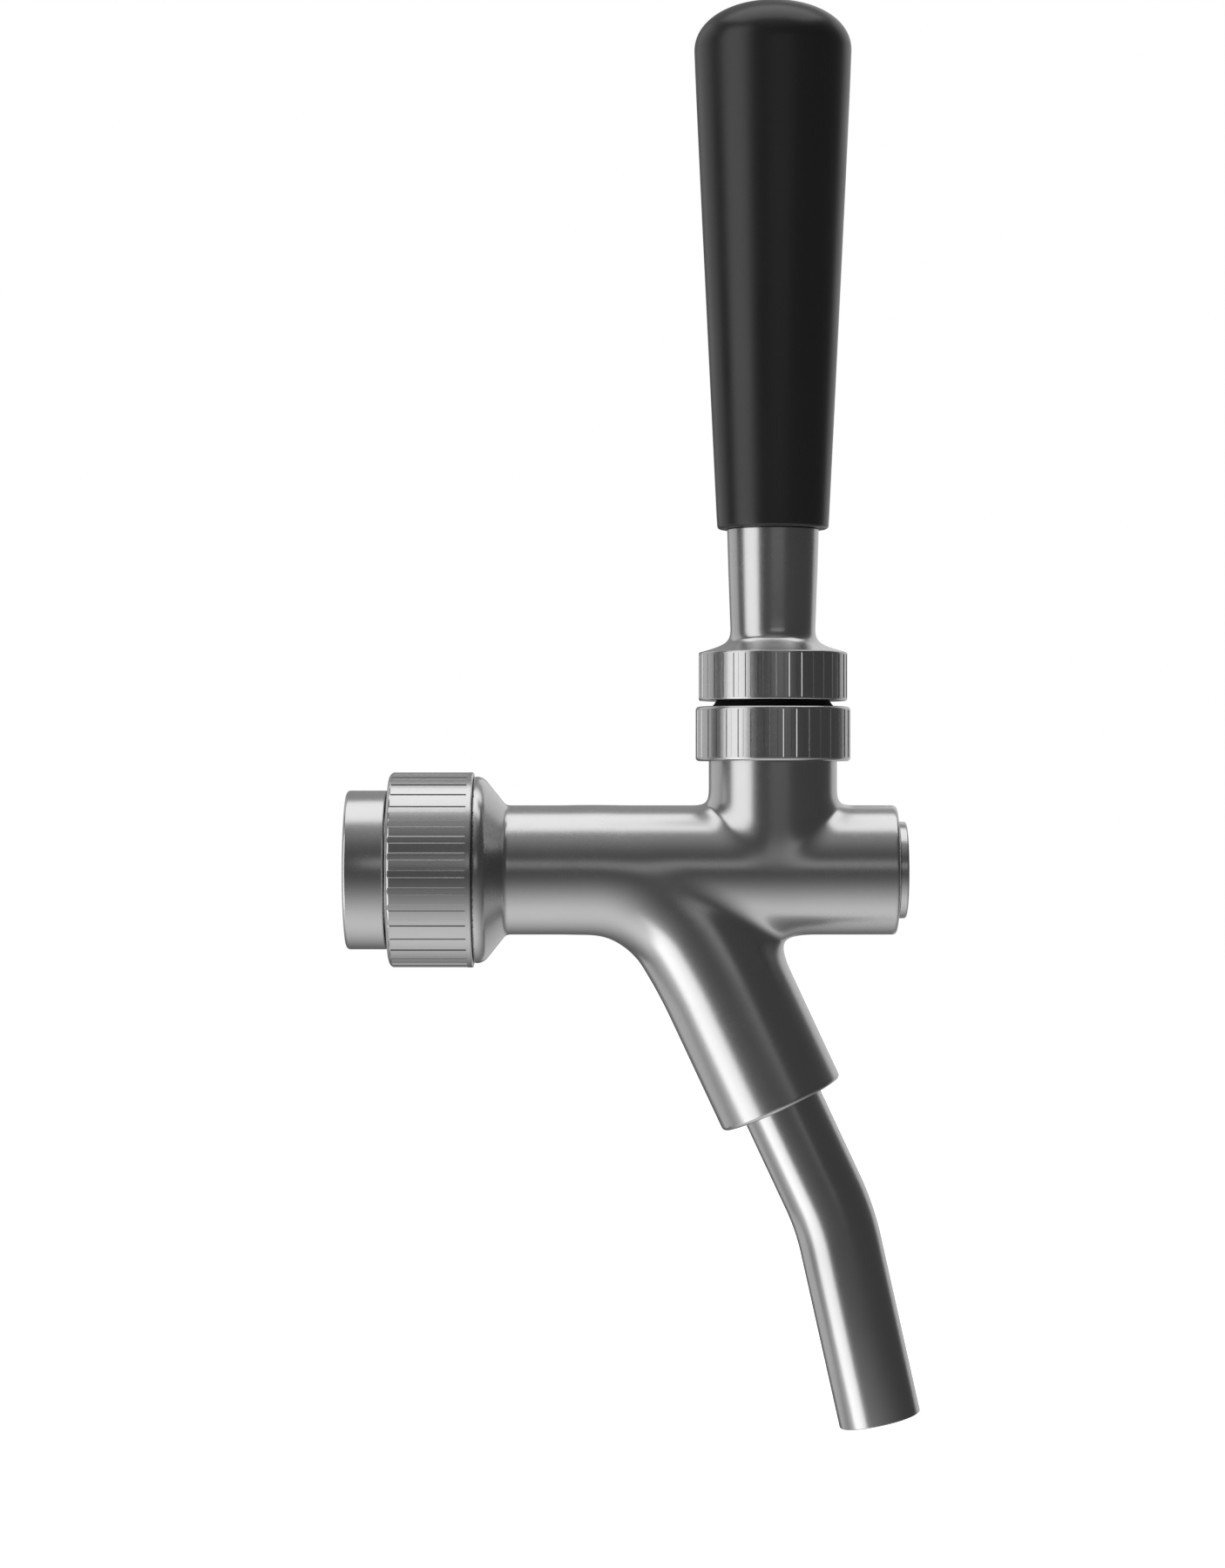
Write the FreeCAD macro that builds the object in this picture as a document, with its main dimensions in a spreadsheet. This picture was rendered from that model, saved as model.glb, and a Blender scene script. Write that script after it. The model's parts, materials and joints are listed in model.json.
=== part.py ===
import FreeCAD, Part
import math
import os
import re
import Sketcher

# A beer tap held by a short shank adapter. The origin is the centre of the adapter's rear face,
# +X runs forwards along the barrel, +Z runs up to the handle. Millimetres and degrees.

SIZES = {
    # shank adapter and coupling nut, along X from the rear face
    "stub_radius": 15.6, "stub_length": 7.9, "stub_rounding": 0.6,
    "inlet_thread_radius": 10.3, "inlet_thread_depth": 10.5, "shank_bore_radius": 4.0,
    "sleeve_radius": 12.2, "sleeve_end": 15.0,
    "ring_groove_radius": 11.4, "ring_start": 11.7, "ring_width": 1.3, "ring_radius": 13.6,
    "gasket_radius": 11.4, "gasket_hole": 5.0, "body_start": 16.5,
    "nut_radius": 19.2, "nut_start": 8.4, "nut_end": 24.95, "nut_web": 3.0, "nut_web_hole": 12.5,
    "nut_thread_radius": 14.0, "nut_rear_rounding": 1.4, "nut_front_rounding": 0.5,
    # body outside
    "tail_thread_radius": 13.95, "flange_start": 25.2, "flange_end": 26.8, "flange_radius": 18.3,
    "flange_rounding": 0.5, "cone_end": 31.3, "barrel_radius": 12.7, "barrel_end": 108.0,
    "barrel_rounding": 0.7, "neck_offset": 83.75, "neck_radius": 12.6, "neck_shoulder": 21.1,
    "neck_thread_radius": 12.3, "neck_top": 28.0, "neck_fillet": 3.0, "leg_fillet": 3.2, "cone_fillet": 0.6,
    # spout socket: an elbow out of the barrel, then a straight leg
    "leg_offset": 63.95, "leg_tilt": 25.1, "leg_radius": 12.6, "leg_length": 50.8, "leg_rounding": 0.8,
    "elbow_radius": 28.6,
    # body inside
    "inlet_radius": 8.5, "seat_start": 50.0, "seat_end": 52.0, "seat_hole": 5.6,
    "chamber_radius": 7.0, "plug_bore_start": 96.0, "plug_bore_radius": 8.1,
    "finger_hole": 5.2, "socket_floor": 9.4, "socket_radius": 8.2, "socket_step": 22.3,
    "ring_bore_radius": 10.4, "leg_bore_radius": 6.8, "tube_socket_start": 31.0,
    "tube_socket_radius": 8.2, "seal_groove_radius": 8.9, "seal_width": 2.2,
    "seal_rear": 36.0, "seal_front": 43.5,
    # neck stack
    "bonnet_radius": 15.2, "bonnet_start": 21.4, "bonnet_end": 32.1, "bonnet_web": 28.3,
    "bonnet_thread_radius": 12.35, "bonnet_hole_low": 9.3, "bonnet_hole_high": 11.3,
    "bonnet_rounding": 0.65,
    "compression_radius": 10.3, "compression_hole_low": 7.2, "compression_start": 22.5,
    "friction_start": 18.0, "friction_radius": 8.1, "friction_hole": 6.2,
    "ball_seat_top": 12.6, "ball_seat_radius": 8.1, "ball_seat_hole": 5.3, "ball_play": 0.05,
    "boot_base": 11.9, "boot_top_radius": 7.5, "boot_top": 38.7, "boot_wall": 1.2,
    # lever, heights above the barrel axis
    "pivot_height": 15.7, "ball_radius": 7.6, "centre_hole_radius": 1.6, "centre_hole_depth": 1.2,
    "finger_radius": 1.5, "finger_tip_radius": 2.2,
    "rod_radius": 3.8, "rod_shoulder_radius": 5.5, "rod_shoulder": 37.6, "rod_shoulder_top": 39.25,
    "stud_radius": 4.7, "stud_top": 84.0,
    "collar_start": 33.25, "collar_radius": 14.6, "collar_hole": 13.8, "collar_lip": 0.4,
    "collar_ceiling": 39.25, "collar_end": 42.8, "collar_rounding": 0.35,
    "flare_edge": 14.2, "flare_foot_radius": 9.1, "flare_foot": 44.5, "flare_top_radius": 8.4,
    "flare_top": 46.8, "stem_top_radius": 9.0, "stem_top": 67.0, "collar_thread_radius": 4.75,
    "grip_start": 67.0, "grip_foot_radius": 10.95, "grip_radius": 15.45, "grip_widest": 161.5,
    "grip_shoulder": 6.5, "grip_top": 170.6, "grip_foot_rounding": 0.6,
    "insert_radius": 6.35, "insert_length": 22.0, "insert_rim": 0.5, "grip_hole_depth": 26.0,
    # knurled rings: shallow recesses all round
    "recess_count": 36, "recess_angle": 4.6, "recess_depth": 0.16, "recess_margin": 0.5,
    "nut_recess_margin": 1.1,
    # valve, along X
    "shaft_radius": 3.0, "guide_radius": 4.0, "guide_start": 78.0, "guide_end": 103.5,
    "yoke_hole": 2.5, "yoke_flat": 2.5, "yoke_half": 5.5,
    "stud_end": 40.8, "valve_stud_radius": 2.4, "wing_radius": 5.5, "wing_start": 50.4, "wing_end": 60.0,
    "wing_width": 2.0, "wing_count": 3,
    "washer_radius": 7.2, "washer_start": 46.9, "washer_front": 49.9, "cup_radius": 7.0,
    "cup_start": 45.4, "shaft_nut_start": 42.4, "shaft_nut_width": 8.0,
    "shaft_seal_start": 98.5, "shaft_seal_width": 1.6, "shaft_seal_depth": 1.0,
    # end cap
    "cap_radius": 9.5, "cap_front": 109.9, "cap_rounding": 0.4, "cap_step": 0.3, "plug_radius": 8.0,
    "cap_bore_radius": 4.05, "cap_bore_end": 106.0, "cap_seal_start": 103.4, "cap_seal_width": 1.8,
    "cap_seal_groove": 6.9,
    # spout tube
    "spout_radius": 8.1, "spout_wall": 1.0, "spout_start": 31.5, "spout_bend_along": 75.4,
    "spout_tilt": 12.6, "spout_bend_radius": 50.0, "spout_lower": 40.7,
}

doc = FreeCAD.newDocument("BeerTap")
sheet = doc.addObject("Spreadsheet::Sheet", "Sizes")
for row, (name, number) in enumerate(SIZES.items(), start=1):
    sheet.set(f"A{row}", name)
    sheet.set(f"B{row}", str(number))
    sheet.setAlias(f"B{row}", name)
doc.recompute()

nodes = []


def bound(formula):
    """The formula with every size name read from the sheet."""
    return re.sub(r"[a-z]+(_[a-z]+)+", lambda found: "Sizes." + found.group(), formula)


def number(formula):
    return float(sheet.evalExpression(bound(formula)))


def node(shape, label):
    """Marks a finished piece: its label names its file."""
    shape.Label = label
    nodes.append(shape)
    return shape


def place(item, base=("0", "0", "0"), axis=(0, 0, 1), angle="0"):
    """Puts an object at a bound base point, turned by a bound angle about an axis."""
    item.Placement = FreeCAD.Placement(
        FreeCAD.Vector(*[number(part) for part in base]),
        FreeCAD.Rotation(FreeCAD.Vector(*axis), number(angle)),
    )
    for direction, part in zip("xyz", base):
        if part != "0":
            item.setExpression(f"Placement.Base.{direction}", bound(part))
    return item


# Three axes: the barrel's (local Z becomes +X), the neck's and the leg's.
BARREL = {"axis": (0, 1, 0), "angle": "90"}
NECK = {"base": ("neck_offset", "0", "0")}
LEG = {"base": ("leg_offset", "0", "0"), "axis": (0, 1, 0), "angle": "180 - leg_tilt"}


def leg_way(tilt):
    """The direction of a run that leans forwards from straight down."""
    angle = math.radians(number(tilt))
    return FreeCAD.Vector(math.sin(angle), 0, -math.cos(angle))


def leg_point(along):
    """The point on the leg's axis at a distance from the barrel's axis."""
    return FreeCAD.Vector(number("leg_offset"), 0, 0) + leg_way("leg_tilt") * number(along)


def origin_plane(body, role):
    return next(item for item in body.Origin.OriginFeatures if item.Role == role)


def outline_sketch(body, name, points, role="XZ_Plane"):
    """A closed outline of straight lines whose corners are all bound to the sheet."""
    sketch = body.newObject("Sketcher::SketchObject", name)
    sketch.AttachmentSupport = [(origin_plane(body, role), "")]
    sketch.MapMode = "FlatFace"
    corners = [FreeCAD.Vector(number(across), number(along), 0) for across, along in points]
    count = len(corners)
    for index in range(count):
        sketch.addGeometry(Part.LineSegment(corners[index], corners[(index + 1) % count]), False)
    for index in range(count):
        sketch.addConstraint(Sketcher.Constraint("Coincident", index, 2, (index + 1) % count, 1))
    for index, (across, along) in enumerate(points):
        for kind, formula, start in (
            ("DistanceX", across, corners[index].x),
            ("DistanceY", along, corners[index].y),
        ):
            rule = sketch.addConstraint(Sketcher.Constraint(kind, -1, 1, index, 1, start))
            if formula != "0":
                sketch.setExpression(f"Constraints[{rule}]", bound(formula))
    return sketch


def turned(name, points, where=None):
    """A body of revolution: points are (radius, height) along the local Z axis."""
    body = doc.addObject("PartDesign::Body", name)
    sketch = outline_sketch(body, name + "_outline", points)
    turn = body.newObject("PartDesign::Revolution", name + "_turned")
    turn.Profile = sketch
    turn.ReferenceAxis = (sketch, ["V_Axis"])
    turn.Angle = 360
    place(body, **(where or {}))
    doc.recompute()
    return body


def rim_names(shape, rims):
    """Names of the circular edges at the given (radius, height) pairs about local Z."""
    found = []
    for radius, height in rims:
        for index, edge in enumerate(shape.Edges, start=1):
            if edge.Degenerated or not isinstance(edge.Curve, Part.Circle):
                continue
            curve = edge.Curve
            near = abs(curve.Radius - number(radius)) + abs(curve.Center.z - number(height))
            if near < 0.02 and abs(curve.Center.x) + abs(curve.Center.y) < 0.01:
                found.append(f"Edge{index}")
    if len(found) < len(rims):
        raise RuntimeError(f"rims missing for {rims}")
    return found


def rounded(body, rims, size):
    """Fillets the given rims of a turned body."""
    base = body.Tip
    names = rim_names(base.Shape, rims)
    fillet = body.newObject("PartDesign::Fillet", body.Name + "_rounding")
    fillet.Base = (base, names)
    fillet.Radius = number(size)
    fillet.setExpression("Radius", bound(size))
    body.Tip = fillet
    doc.recompute()


def recessed(body, radius, start, end):
    """Cuts shallow flat recesses all round a knurled ring between two heights."""
    before = body.Shape.Volume
    half = f"{radius} * sin(recess_angle / 2 * 1deg)"
    floor = f"{radius} - recess_depth"
    points = [
        (f"-({half})", floor), (half, floor), (half, f"{radius} + 1"), (f"-({half})", f"{radius} + 1"),
    ]
    sketch = outline_sketch(body, body.Name + "_recess_outline", points, "XY_Plane")
    sketch.AttachmentOffset = FreeCAD.Placement(
        FreeCAD.Vector(0, 0, number(start)), FreeCAD.Rotation()
    )
    sketch.setExpression("AttachmentOffset.Base.z", bound(start))
    pocket = body.newObject("PartDesign::Pocket", body.Name + "_recess")
    pocket.Profile = sketch
    pocket.Length = number(f"{end} - ({start})")
    pocket.setExpression("Length", bound(f"{end} - ({start})"))
    pocket.Reversed = True
    body.Tip = pocket
    doc.recompute()
    pattern = body.newObject("PartDesign::PolarPattern", body.Name + "_knurl")
    pattern.Originals = [pocket]
    pattern.Axis = (sketch, ["N_Axis"])
    pattern.Angle = 360
    pattern.Occurrences = int(number("recess_count"))
    pattern.setExpression("Occurrences", bound("recess_count"))
    body.Tip = pattern
    doc.recompute()
    if body.Shape.Volume >= before - 1:
        raise RuntimeError(f"{body.Name}: the recesses cut nothing")


def solid(kind, name, sizes, **where):
    """A Part primitive whose sizes are bound to the sheet."""
    item = doc.addObject(f"Part::{kind}", name)
    for field, formula in sizes.items():
        setattr(item, field, number(formula))
        item.setExpression(field, bound(formula))
    return place(item, **where)


def cylinder(name, radius, height, **where):
    return solid("Cylinder", name, {"Radius": radius, "Height": height}, **where)


def cone(name, low, high, height, **where):
    return solid("Cone", name, {"Radius1": low, "Radius2": high, "Height": height}, **where)


def fused(name, *items):
    item = doc.addObject("Part::MultiFuse", name)
    item.Shapes = list(items)
    return item


def cut(name, base, tool):
    item = doc.addObject("Part::Cut", name)
    item.Base = base
    item.Tool = tool
    doc.recompute()
    if not item.Shape.Solids or item.Shape.Volume >= base.Shape.Volume:
        raise RuntimeError(f"{name}: nothing was cut")
    return item


def at_neck(height):
    return {"base": ("neck_offset", "0", height)}


def shank_adapter():
    body = turned("ShankAdapter", [
        ("inlet_thread_radius", "0"), ("stub_radius", "0"), ("stub_radius", "stub_length"),
        ("sleeve_radius", "stub_length"), ("sleeve_radius", "ring_start"),
        ("ring_groove_radius", "ring_start"), ("ring_groove_radius", "ring_start + ring_width"),
        ("sleeve_radius", "ring_start + ring_width"), ("sleeve_radius", "sleeve_end"),
        ("shank_bore_radius", "sleeve_end"), ("shank_bore_radius", "inlet_thread_depth"),
        ("inlet_thread_radius", "inlet_thread_depth"),
    ], BARREL)
    rounded(body, [("stub_radius", "0"), ("stub_radius", "stub_length")], "stub_rounding")
    node(body, "shank_adapter")


def ring(label, hole, radius, start, end, where):
    """A plain ring or washer."""
    name = "".join(word.capitalize() for word in label.split("_"))
    body = turned(name, [(hole, start), (radius, start), (radius, end), (hole, end)], where)
    return node(body, label)


def coupling_nut():
    body = turned("CouplingNut", [
        ("nut_web_hole", "nut_start"), ("nut_radius", "nut_start"), ("nut_radius", "nut_end"),
        ("nut_thread_radius", "nut_end"), ("nut_thread_radius", "nut_start + nut_web"),
        ("nut_web_hole", "nut_start + nut_web"),
    ], BARREL)
    rounded(body, [("nut_radius", "nut_start")], "nut_rear_rounding")
    rounded(body, [("nut_radius", "nut_end")], "nut_front_rounding")
    recessed(body, "nut_radius", "nut_start", "nut_end - nut_recess_margin")
    node(body, "coupling_nut")


def tap_body():
    """Tail, flange, cone and barrel are turned; neck, elbow and leg are fused on, then bored."""
    barrel = turned("BodyBarrel", [
        ("0", "body_start"), ("tail_thread_radius", "body_start"),
        ("tail_thread_radius", "flange_start"), ("flange_radius", "flange_start"),
        ("flange_radius", "flange_end"), ("barrel_radius", "cone_end"),
        ("barrel_radius", "barrel_end"), ("0", "barrel_end"),
    ], BARREL)
    rounded(barrel, [("flange_radius", "flange_start"), ("flange_radius", "flange_end")],
            "flange_rounding")
    rounded(barrel, [("barrel_radius", "barrel_end")], "barrel_rounding")
    neck = cylinder("BodyNeck", "neck_radius", "neck_shoulder", **NECK)
    neck_thread = cylinder("BodyNeckThread", "neck_thread_radius", "neck_top", **NECK)
    leg = cylinder("BodyLeg", "leg_radius", "leg_length", **LEG)
    elbow = solid("Torus", "BodyElbow", {
        "Radius1": "elbow_radius", "Radius2": "leg_radius - 0.15", "Angle3": "90 - leg_tilt",
    }, base=("leg_offset - elbow_radius * tan((90 - leg_tilt) / 2 * 1deg)", "0", "-elbow_radius"),
        axis=(1, 1, 1), angle="240")
    outside = fused("BodyOutside", barrel, neck, neck_thread, leg, elbow)
    doc.recompute()

    bores = turned("BodyBores", [
        ("0", "body_start - 1"), ("inlet_radius", "body_start - 1"), ("inlet_radius", "seat_start"),
        ("seat_hole", "seat_start"), ("seat_hole", "seat_end"), ("chamber_radius", "seat_end"),
        ("chamber_radius", "plug_bore_start"), ("plug_bore_radius", "plug_bore_start"),
        ("plug_bore_radius", "barrel_end + 1"), ("0", "barrel_end + 1"),
    ], BARREL)
    neck_bores = turned("NeckBores", [
        ("0", "chamber_radius / 2"), ("finger_hole", "chamber_radius / 2"),
        ("finger_hole", "socket_floor"), ("socket_radius", "socket_floor"),
        ("socket_radius", "socket_step"), ("ring_bore_radius", "socket_step"),
        ("ring_bore_radius", "neck_top + 1"), ("0", "neck_top + 1"),
    ], NECK)
    leg_bores = turned("LegBores", [
        ("0", "0"), ("leg_bore_radius", "0"), ("leg_bore_radius", "tube_socket_start"),
        ("tube_socket_radius", "tube_socket_start"), ("tube_socket_radius", "seal_rear"),
        ("seal_groove_radius", "seal_rear"), ("seal_groove_radius", "seal_rear + seal_width"),
        ("tube_socket_radius", "seal_rear + seal_width"), ("tube_socket_radius", "seal_front"),
        ("seal_groove_radius", "seal_front"), ("seal_groove_radius", "seal_front + seal_width"),
        ("tube_socket_radius", "seal_front + seal_width"), ("tube_socket_radius", "leg_length + 1"),
        ("0", "leg_length + 1"),
    ], LEG)
    hollow = fused("BodyHollow", bores, neck_bores, leg_bores)
    doc.recompute()
    blended = blended_junctions(outside)
    node(cut("TapBody", blended, hollow), "tap_body")


def blended_junctions(outside):
    """Fillets where neck, leg and cone meet the barrel, and the rim of the leg's end."""
    shape = outside.Shape
    leg_end = leg_point("leg_length")
    edges = []
    for index, edge in enumerate(shape.Edges, start=1):
        if edge.Degenerated:
            continue
        box = edge.BoundBox
        meeting = isinstance(edge.Curve, Part.BSplineCurve) and box.XMax > number("neck_offset")
        if meeting and box.ZMin > 0:
            edges.append((index, "neck_fillet"))
        elif meeting and box.ZMax < 0:
            edges.append((index, "leg_fillet"))
        elif (edge.CenterOfMass - leg_end).Length < 0.1:
            edges.append((index, "leg_rounding"))
        elif box.XMax - box.XMin < 0.01 and abs(box.XMin - number("cone_end")) < 0.01:
            edges.append((index, "cone_fillet"))
    found = sorted(size for _, size in edges)
    if found != ["cone_fillet", "leg_fillet", "leg_fillet", "leg_rounding", "neck_fillet"]:
        raise RuntimeError(f"the body's seams changed: {found}")
    blend = doc.addObject("Part::Fillet", "BodyBlends")
    blend.Base = outside
    blend.Edges = [(index, number(size), number(size)) for index, size in edges]
    doc.recompute()
    return blend


def lever_shaft():
    """Finger tip, finger, ball, rod, shoulder and stud in one piece.

    The ball has a shallow centre hole at each end of the line that the lever swings about.
    """
    tip = solid("Sphere", "FingerTip", {"Radius": "finger_tip_radius"}, **NECK)
    finger = cylinder("Finger", "finger_radius", "pivot_height", **NECK)
    ball = solid("Sphere", "LeverBall", {"Radius": "ball_radius"}, **at_neck("pivot_height"))
    rod = cylinder("LeverRod", "rod_radius", "rod_shoulder_top - pivot_height", **at_neck("pivot_height"))
    shoulder = cylinder("LeverShoulder", "rod_shoulder_radius", "rod_shoulder_top - rod_shoulder",
                        **at_neck("rod_shoulder"))
    stud = cylinder("LeverStud", "stud_radius", "stud_top - rod_shoulder_top",
                    **at_neck("rod_shoulder_top"))
    centre_holes = [
        cylinder(name, "centre_hole_radius", "centre_hole_depth + 1",
                 base=("neck_offset", start, "pivot_height"), axis=(1, 0, 0), angle="-90")
        for name, start in (("CentreHoleLeft", "ball_radius - centre_hole_depth"),
                            ("CentreHoleRight", "-ball_radius - 1"))
    ]
    blank = fused("LeverBlank", tip, finger, ball, rod, shoulder, stud)
    node(cut("LeverShaft", blank, fused("CentreHoles", *centre_holes)), "lever_shaft")


def ball_rings():
    """The seal under the ball and the friction ring over it, each hollowed to the ball's shape."""
    for label, hole_low, hole_high, radius, start, end in (
        ("ball_seat", "ball_seat_hole", "ball_seat_hole", "ball_seat_radius", "socket_floor",
         "ball_seat_top"),
        ("friction_ring", "friction_hole", "compression_hole_low", "friction_radius",
         "friction_start", "compression_start"),
    ):
        name = "".join(word.capitalize() for word in label.split("_"))
        blank = cylinder(name + "Blank", radius, f"{end} - {start}", **at_neck(start))
        hole = cone(name + "Hole", hole_low, hole_high + " + 0.001", f"{end} - {start}", **at_neck(start))
        space = solid("Sphere", name + "Space", {"Radius": "ball_radius + ball_play"},
                      **at_neck("pivot_height"))
        node(cut(name, blank, fused(name + "Inside", hole, space)), label)


def compression_ring():
    body = turned("CompressionRing", [
        ("compression_hole_low", "compression_start"), ("compression_radius", "compression_start"),
        ("compression_radius", "bonnet_web"), ("bonnet_hole_low", "bonnet_web"),
    ], NECK)
    node(body, "compression_ring")


def bonnet_nut():
    body = turned("BonnetNut", [
        ("bonnet_thread_radius", "bonnet_start"), ("bonnet_radius", "bonnet_start"),
        ("bonnet_radius", "bonnet_end"), ("bonnet_hole_high", "bonnet_end"),
        ("bonnet_hole_low", "bonnet_web"), ("bonnet_thread_radius", "bonnet_web"),
    ], NECK)
    rounded(body, [("bonnet_radius", "bonnet_start"), ("bonnet_radius", "bonnet_end")],
            "bonnet_rounding")
    recessed(body, "bonnet_radius", "bonnet_start + recess_margin", "bonnet_end - recess_margin")
    node(body, "bonnet_nut")


def dust_boot():
    """A thin rubber cone from the bonnet nut's top up to the lever shaft's shoulder."""
    body = turned("DustBoot", [
        ("boot_base - boot_wall", "bonnet_end"), ("boot_base", "bonnet_end"),
        ("boot_top_radius", "boot_top"), ("rod_shoulder_radius", "boot_top"),
        ("rod_shoulder_radius", "boot_top - boot_wall"),
        ("boot_top_radius - boot_wall", "boot_top - boot_wall"),
    ], NECK)
    node(body, "dust_boot")


def lever_collar():
    """A knurled bell that hangs over the bonnet nut, flaring in to a tapered stem."""
    body = turned("LeverCollar", [
        ("collar_hole + collar_lip", "collar_start"), ("collar_radius", "collar_start"),
        ("collar_radius", "collar_end"), ("flare_edge", "collar_end"),
        ("flare_edge - 1.5", "collar_end + 0.5"), ("flare_foot_radius + 1.6", "flare_foot - 0.85"),
        ("flare_foot_radius", "flare_foot"), ("flare_top_radius", "flare_top"),
        ("stem_top_radius", "stem_top"), ("collar_thread_radius", "stem_top"),
        ("collar_thread_radius", "collar_ceiling"), ("collar_hole", "collar_ceiling"),
        ("collar_hole", "collar_start + collar_lip"),
    ], NECK)
    rounded(body, [("collar_radius", "collar_start"), ("collar_radius", "collar_end")],
            "collar_rounding")
    recessed(body, "collar_radius", "collar_start + recess_margin", "collar_end - recess_margin")
    node(body, "lever_collar")


def handle_grip():
    """A tapered grip with a domed top, bored from below for its insert."""
    body = doc.addObject("PartDesign::Body", "HandleGrip")
    sketch = body.newObject("Sketcher::SketchObject", "HandleGrip_outline")
    sketch.AttachmentSupport = [(origin_plane(body, "XZ_Plane"), "")]
    sketch.MapMode = "FlatFace"
    corners = [
        ("insert_radius", "grip_start"), ("grip_foot_radius", "grip_start"),
        ("grip_radius", "grip_widest"), ("0", "grip_top"),
        ("0", "grip_start + grip_hole_depth"), ("insert_radius", "grip_start + grip_hole_depth"),
    ]
    spots = [FreeCAD.Vector(number(across), number(along), 0) for across, along in corners]
    # The dome is a shoulder arc that runs tangent into a flatter crown arc.
    shoulder = number("grip_shoulder")
    reach = number("grip_radius - grip_shoulder")
    rise = number("grip_top - grip_widest")
    crown = (reach**2 + rise**2 - shoulder**2) / (2 * (rise - shoulder))
    middle = FreeCAD.Vector(reach, number("grip_widest"), 0)
    top_middle = FreeCAD.Vector(0, number("grip_top") - crown, 0)
    slope = math.atan2(middle.y - top_middle.y, reach)
    flat = FreeCAD.Vector(0, 0, 1)
    lines = [Part.LineSegment(spots[index], spots[(index + 1) % 6]) for index in (0, 1, 3, 4, 5)]
    arcs = [
        Part.ArcOfCircle(Part.Circle(middle, flat, shoulder), 0, slope),
        Part.ArcOfCircle(Part.Circle(top_middle, flat, crown), slope, math.pi / 2),
    ]
    sketch.addGeometry(lines + arcs, False)
    for first, end, second, start in (
        (0, 2, 1, 1), (1, 2, 5, 1), (6, 2, 2, 1), (2, 2, 3, 1), (3, 2, 4, 1), (4, 2, 0, 1),
    ):
        sketch.addConstraint(Sketcher.Constraint("Coincident", first, end, second, start))
    sketch.addConstraint(Sketcher.Constraint("Tangent", 5, 2, 6, 1))
    for index, mark, formulas in (
        (0, 1, corners[0]), (1, 1, corners[1]), (1, 2, corners[2]), (2, 1, corners[3]),
        (3, 1, corners[4]), (4, 1, corners[5]),
        (5, 3, ("grip_radius - grip_shoulder", "grip_widest")), (6, 3, ("0", None)),
    ):
        for kind, formula in zip(("DistanceX", "DistanceY"), formulas):
            if formula is None:
                continue
            rule = sketch.addConstraint(Sketcher.Constraint(kind, -1, 1, index, mark, number(formula)))
            if formula != "0":
                sketch.setExpression(f"Constraints[{rule}]", bound(formula))
    turn = body.newObject("PartDesign::Revolution", "HandleGrip_turned")
    turn.Profile = sketch
    turn.ReferenceAxis = (sketch, ["V_Axis"])
    turn.Angle = 360
    place(body, **NECK)
    doc.recompute()
    rounded(body, [("grip_foot_radius", "grip_start")], "grip_foot_rounding")
    node(body, "handle_grip")


def valve_shaft():
    """Stud, winged guide, shaft and a flatted front rod with the hole that the finger enters."""
    rod = turned("ValveRod", [
        ("0", "stud_end"), ("valve_stud_radius", "stud_end"), ("valve_stud_radius", "washer_front"),
        ("guide_radius", "washer_front"), ("guide_radius", "wing_start"),
        ("shaft_radius", "wing_start"), ("shaft_radius", "guide_start"),
        ("guide_radius", "guide_start"), ("guide_radius", "shaft_seal_start"),
        ("guide_radius - shaft_seal_depth", "shaft_seal_start"),
        ("guide_radius - shaft_seal_depth", "shaft_seal_start + shaft_seal_width"),
        ("guide_radius", "shaft_seal_start + shaft_seal_width"), ("guide_radius", "guide_end"),
        ("0", "guide_end"),
    ], BARREL)
    pieces = [rod]
    for index in range(int(number("wing_count"))):
        wing = solid("Box", f"ValveWing{index + 1}", {
            "Length": "wing_radius", "Width": "wing_width", "Height": "wing_end - wing_start",
        })
        # Each wing stands on the shaft's axis, and is turned round it before the shaft is laid along X.
        wing.Placement = FreeCAD.Placement(
            FreeCAD.Vector(number("wing_start"), 0, 0), FreeCAD.Rotation(FreeCAD.Vector(0, 1, 0), 90)
        ) * FreeCAD.Placement(
            FreeCAD.Vector(), FreeCAD.Rotation(FreeCAD.Vector(0, 0, 1), 360 / number("wing_count") * index)
        ) * FreeCAD.Placement(FreeCAD.Vector(0, -number("wing_width") / 2, 0), FreeCAD.Rotation())
        pieces.append(wing)
    whole = fused("ValveWhole", *pieces)
    doc.recompute()
    slot = cylinder("YokeHole", "yoke_hole", "guide_radius + 4",
                    base=("neck_offset", "0", "-3"))
    flat = solid("Box", "YokeFlat", {
        "Length": "2 * yoke_half", "Width": "3 * guide_radius", "Height": "guide_radius",
    }, base=("neck_offset - yoke_half", "-1.5 * guide_radius", "yoke_flat"))
    node(cut("ValveShaft", whole, fused("YokeSpace", slot, flat)), "valve_shaft")


def shaft_nut():
    """A small hexagon nut behind the washer cup."""
    prism = doc.addObject("Part::Prism", "ShaftNutPrism")
    prism.Polygon = 6
    prism.Circumradius = number("shaft_nut_width / sqrt(3)")
    prism.setExpression("Circumradius", bound("shaft_nut_width / sqrt(3)"))
    prism.Height = number("cup_start - shaft_nut_start")
    prism.setExpression("Height", bound("cup_start - shaft_nut_start"))
    place(prism, base=("shaft_nut_start", "0", "0"), **BARREL)
    hole = cylinder("ShaftNutHole", "valve_stud_radius", "cup_start - shaft_nut_start",
                    base=("shaft_nut_start", "0", "0"), **BARREL)
    node(cut("ShaftNut", prism, hole), "shaft_nut")


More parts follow.
